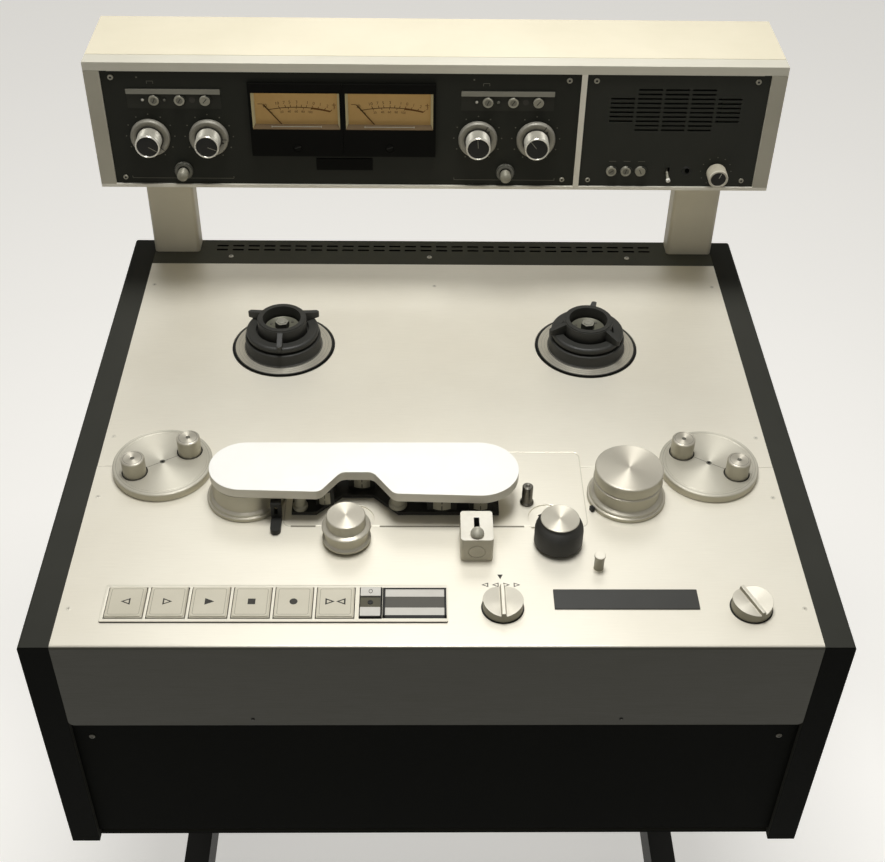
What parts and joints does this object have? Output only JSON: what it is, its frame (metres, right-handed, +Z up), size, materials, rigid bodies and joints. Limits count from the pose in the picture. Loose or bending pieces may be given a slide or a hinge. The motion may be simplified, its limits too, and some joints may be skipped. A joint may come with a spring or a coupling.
{
  "type": "reel-to-reel tape recorder",
  "caption": "Studio reel-to-reel tape recorder: a flat silver deck with turning hubs, rollers and keys, on a stand with a meter bridge above it.",
  "frame": {"origin": "on the floor under the middle of the bounding box", "axes": "+Z up, +Y to the back, +X to the right of someone who stands at the controls"},
  "size_m": [0.671, 0.594, 1.023],
  "materials": {
    "deck_silver": "satin warm silver",
    "turned_silver": "turned and polished",
    "hub_black": "satin black hub on a turned flange",
    "black_plastic": "satin black",
    "white_cover": "white paint on a grey rim",
    "charcoal_paint": "fine charcoal paint on board",
    "black_paint": "fine black texture",
    "stand_paint": "black paint",
    "panel_black": "satin black",
    "cream_paint": "cream paint",
    "post_paint": "beige grey paint",
    "cutter_paint": "white paint",
    "key_plastic": "translucent grey beige",
    "ring_grey": "light grey",
    "volume_plastic": "cream with a black cap",
    "roller_rubber": "black rubber under a turned cap",
    "capstan_steel": "dark ground steel",
    "cast_grey": "as cast",
    "motor_steel": "grey paint",
    "needle_red": "thin dark pointer"
  },
  "bodies": {
    "machine": {"deck_plate_rear": "deck_silver", "deck_plate_front": "deck_silver", "head_plate": "deck_silver", "tape_heads": "black_plastic", "head_cover": "white_cover", "side_panels": "charcoal_paint", "case_covers": "black_paint", "chassis": "cast_grey", "drive_motors": "motor_steel", "stand_frame": "stand_paint", "bridge_posts": "post_paint", "bridge_shell": "cream_paint", "meter_panel": "panel_black", "speaker_panel": "panel_black", "vu_meters": "black_plastic", "monitor_speaker": "black_plastic", "tape_cutter": "cutter_paint", "key_frame": "deck_silver"},
    "reel_turntable_left": {"reel_turntable_left": "hub_black"},
    "reel_turntable_right": {"reel_turntable_right": "hub_black"},
    "hub_lock_left": {"hub_lock_left": "hub_black"},
    "hub_lock_right": {"hub_lock_right": "hub_black"},
    "tension_disc_left": {"tension_disc_left": "turned_silver"},
    "tension_disc_right": {"tension_disc_right": "turned_silver"},
    "tension_roller_left_outer": {"tension_roller_left_outer": "turned_silver"},
    "tension_roller_left_inner": {"tension_roller_left_inner": "turned_silver"},
    "tension_roller_right_inner": {"tension_roller_right_inner": "turned_silver"},
    "tension_roller_right_outer": {"tension_roller_right_outer": "turned_silver"},
    "idler_roller": {"idler_roller": "turned_silver"},
    "timer_roller": {"timer_roller": "turned_silver"},
    "capstan": {"capstan": "capstan_steel"},
    "pinch_arm": {"pinch_arm": "cast_grey"},
    "pinch_roller": {"pinch_roller": "roller_rubber"},
    "guide_arm": {"guide_arm": "cast_grey"},
    "guide_roller": {"guide_roller": "turned_silver"},
    "lifter_lever": {"lifter_lever": "black_plastic"},
    "cutter_knob": {"cutter_knob": "turned_silver"},
    "key_rewind": {"key_rewind": "key_plastic"},
    "key_forward": {"key_forward": "key_plastic"},
    "key_play": {"key_play": "key_plastic"},
    "key_stop": {"key_stop": "key_plastic"},
    "key_record": {"key_record": "key_plastic"},
    "key_edit": {"key_edit": "key_plastic"},
    "counter_rocker": {"counter_rocker": "black_plastic"},
    "shuttle_knob": {"shuttle_knob": "turned_silver"},
    "selector_knob": {"selector_knob": "turned_silver"},
    "level_ring_1": {"level_ring_1": "ring_grey"},
    "level_ring_2": {"level_ring_2": "ring_grey"},
    "level_ring_3": {"level_ring_3": "ring_grey"},
    "level_ring_4": {"level_ring_4": "ring_grey"},
    "level_knob_1": {"level_knob_1": "turned_silver"},
    "level_knob_2": {"level_knob_2": "turned_silver"},
    "level_knob_3": {"level_knob_3": "turned_silver"},
    "level_knob_4": {"level_knob_4": "turned_silver"},
    "test_button_left": {"test_button_left": "turned_silver"},
    "test_button_right": {"test_button_right": "turned_silver"},
    "volume_knob": {"volume_knob": "volume_plastic"},
    "monitor_switch": {"monitor_switch": "turned_silver"},
    "vu_needle_left": {"vu_needle_left": "needle_red"},
    "vu_needle_right": {"vu_needle_right": "needle_red"}
  },
  "joints": [
    {"name": "reel_left_spin", "type": "hinge", "parent": "machine", "child": "reel_turntable_left", "pos_m": [-0.154, 0.101, 0.76], "axis": [0, 0, 1], "continuous": true},
    {"name": "hub_lock_left_turn", "type": "hinge", "parent": "reel_turntable_left", "child": "hub_lock_left", "pos_m": [-0.154, 0.101, 0.76], "axis": [0, 0, 1], "range_deg": [0, 60]},
    {"name": "tension_left_swing", "type": "hinge", "parent": "machine", "child": "tension_disc_left", "pos_m": [-0.2493, -0.085, 0.76], "axis": [0, 0, 1], "range_deg": [-20, 20], "stiffness_Nm_per_rad": 0.4},
    {"name": "tension_roller_left_inner_spin", "type": "hinge", "parent": "tension_disc_left", "child": "tension_roller_left_inner", "pos_m": [-0.2264, -0.07069, 0.76], "axis": [0, 0, 1], "continuous": true},
    {"name": "tension_roller_left_outer_spin", "type": "hinge", "parent": "tension_disc_left", "child": "tension_roller_left_outer", "pos_m": [-0.2722, -0.09931, 0.76], "axis": [0, 0, 1], "continuous": true},
    {"name": "reel_right_spin", "type": "hinge", "parent": "machine", "child": "reel_turntable_right", "pos_m": [0.154, 0.101, 0.76], "axis": [0, 0, 1], "continuous": true},
    {"name": "hub_lock_right_turn", "type": "hinge", "parent": "reel_turntable_right", "child": "hub_lock_right", "pos_m": [0.154, 0.101, 0.76], "axis": [0, 0, 1], "range_deg": [0, 60]},
    {"name": "tension_right_swing", "type": "hinge", "parent": "machine", "child": "tension_disc_right", "pos_m": [0.2493, -0.085, 0.76], "axis": [0, 0, 1], "range_deg": [-20, 20], "stiffness_Nm_per_rad": 0.4},
    {"name": "tension_roller_right_outer_spin", "type": "hinge", "parent": "tension_disc_right", "child": "tension_roller_right_outer", "pos_m": [0.2722, -0.09931, 0.76], "axis": [0, 0, 1], "continuous": true},
    {"name": "tension_roller_right_inner_spin", "type": "hinge", "parent": "tension_disc_right", "child": "tension_roller_right_inner", "pos_m": [0.2264, -0.07069, 0.76], "axis": [0, 0, 1], "continuous": true},
    {"name": "idler_spin", "type": "hinge", "parent": "machine", "child": "idler_roller", "pos_m": [-0.1695, -0.121, 0.76], "axis": [0, 0, 1], "continuous": true},
    {"name": "timer_spin", "type": "hinge", "parent": "machine", "child": "timer_roller", "pos_m": [0.1695, -0.121, 0.76], "axis": [0, 0, 1], "continuous": true},
    {"name": "capstan_spin", "type": "hinge", "parent": "machine", "child": "capstan", "pos_m": [0.08, -0.1295, 0.76], "axis": [0, 0, 1], "continuous": true},
    {"name": "pinch_arm_swing", "type": "hinge", "parent": "machine", "child": "pinch_arm", "pos_m": [0.1548, -0.154, 0.76], "axis": [0, 0, -1], "range_deg": [0, 32], "stiffness_Nm_per_rad": 1},
    {"name": "pinch_roller_spin", "type": "hinge", "parent": "pinch_arm", "child": "pinch_roller", "pos_m": [0.10402, -0.17954, 0.76], "axis": [0, 0, 1], "continuous": true},
    {"name": "guide_arm_swing", "type": "hinge", "parent": "machine", "child": "guide_arm", "pos_m": [-0.022, -0.177, 0.76], "axis": [0, 0, -1], "range_deg": [0, 27], "stiffness_Nm_per_rad": 1},
    {"name": "guide_roller_spin", "type": "hinge", "parent": "guide_arm", "child": "guide_roller", "pos_m": [-0.07839, -0.17602, 0.76], "axis": [0, 0, 1], "continuous": true},
    {"name": "lifter_swing", "type": "hinge", "parent": "machine", "child": "lifter_lever", "pos_m": [-0.1405, -0.1515, 0.76], "axis": [0, 0, 1], "range_deg": [-8, 12]},
    {"name": "cutter_push", "type": "slide", "parent": "machine", "child": "cutter_knob", "axis": [0, 1, 0], "range_m": [0, 0.018], "stiffness_N_per_m": 100},
    {"name": "key_rewind_press", "type": "slide", "parent": "machine", "child": "key_rewind", "axis": [0, 0, -1], "range_m": [0, 0.003], "stiffness_N_per_m": 400},
    {"name": "key_forward_press", "type": "slide", "parent": "machine", "child": "key_forward", "axis": [0, 0, -1], "range_m": [0, 0.003], "stiffness_N_per_m": 400},
    {"name": "key_play_press", "type": "slide", "parent": "machine", "child": "key_play", "axis": [0, 0, -1], "range_m": [0, 0.003], "stiffness_N_per_m": 400},
    {"name": "key_stop_press", "type": "slide", "parent": "machine", "child": "key_stop", "axis": [0, 0, -1], "range_m": [0, 0.003], "stiffness_N_per_m": 400},
    {"name": "key_record_press", "type": "slide", "parent": "machine", "child": "key_record", "axis": [0, 0, -1], "range_m": [0, 0.003], "stiffness_N_per_m": 400},
    {"name": "key_edit_press", "type": "slide", "parent": "machine", "child": "key_edit", "axis": [0, 0, -1], "range_m": [0, 0.003], "stiffness_N_per_m": 400},
    {"name": "counter_rock", "type": "hinge", "parent": "machine", "child": "counter_rocker", "pos_m": [-0.0556, -0.251, 0.758], "axis": [1, 0, 0], "range_deg": [-6, 6], "stiffness_Nm_per_rad": 0.1},
    {"name": "shuttle_turn", "type": "hinge", "parent": "machine", "child": "shuttle_knob", "pos_m": [0.0528, -0.2545, 0.76], "axis": [0, 0, 1], "range_deg": [-60, 60], "stiffness_Nm_per_rad": 0.05},
    {"name": "selector_turn", "type": "hinge", "parent": "machine", "child": "selector_knob", "pos_m": [0.258, -0.2545, 0.76], "axis": [0, 0, 1], "range_deg": [-75, 30]},
    {"name": "level_ring_1_turn", "type": "hinge", "parent": "machine", "child": "level_ring_1", "pos_m": [-0.28, 0.195, 0.945], "axis": [0, 1, 0], "range_deg": [-150, 150]},
    {"name": "level_knob_1_turn", "type": "hinge", "parent": "machine", "child": "level_knob_1", "pos_m": [-0.28, 0.195, 0.945], "axis": [0, 1, 0], "range_deg": [-150, 150]},
    {"name": "level_ring_2_turn", "type": "hinge", "parent": "machine", "child": "level_ring_2", "pos_m": [-0.2228, 0.195, 0.945], "axis": [0, 1, 0], "range_deg": [-150, 150]},
    {"name": "level_knob_2_turn", "type": "hinge", "parent": "machine", "child": "level_knob_2", "pos_m": [-0.2228, 0.195, 0.945], "axis": [0, 1, 0], "range_deg": [-150, 150]},
    {"name": "level_ring_3_turn", "type": "hinge", "parent": "machine", "child": "level_ring_3", "pos_m": [0.0408, 0.195, 0.945], "axis": [0, 1, 0], "range_deg": [-150, 150]},
    {"name": "level_knob_3_turn", "type": "hinge", "parent": "machine", "child": "level_knob_3", "pos_m": [0.0408, 0.195, 0.945], "axis": [0, 1, 0], "range_deg": [-150, 150]},
    {"name": "level_ring_4_turn", "type": "hinge", "parent": "machine", "child": "level_ring_4", "pos_m": [0.098, 0.195, 0.945], "axis": [0, 1, 0], "range_deg": [-150, 150]},
    {"name": "level_knob_4_turn", "type": "hinge", "parent": "machine", "child": "level_knob_4", "pos_m": [0.098, 0.195, 0.945], "axis": [0, 1, 0], "range_deg": [-150, 150]},
    {"name": "test_button_left_press", "type": "slide", "parent": "machine", "child": "test_button_left", "axis": [0, 1, 0], "range_m": [0, 0.003], "stiffness_N_per_m": 300},
    {"name": "test_button_right_press", "type": "slide", "parent": "machine", "child": "test_button_right", "axis": [0, 1, 0], "range_m": [0, 0.003], "stiffness_N_per_m": 300},
    {"name": "volume_turn", "type": "hinge", "parent": "machine", "child": "volume_knob", "pos_m": [0.28125, 0.195, 0.91], "axis": [0, 1, 0], "range_deg": [-150, 150]},
    {"name": "monitor_flip", "type": "hinge", "parent": "machine", "child": "monitor_switch", "pos_m": [0.23225, 0.203, 0.91], "axis": [-1, 0, 0], "range_deg": [0, 26]},
    {"name": "vu_needle_left_swing", "type": "hinge", "parent": "machine", "child": "vu_needle_left", "pos_m": [-0.13625, 0.195, 0.94], "axis": [0, 1, 0], "range_deg": [0, 79], "stiffness_Nm_per_rad": 0.005},
    {"name": "vu_needle_right_swing", "type": "hinge", "parent": "machine", "child": "vu_needle_right", "pos_m": [-0.04575, 0.195, 0.94], "axis": [0, 1, 0], "range_deg": [0, 79], "stiffness_Nm_per_rad": 0.005}
  ]
}
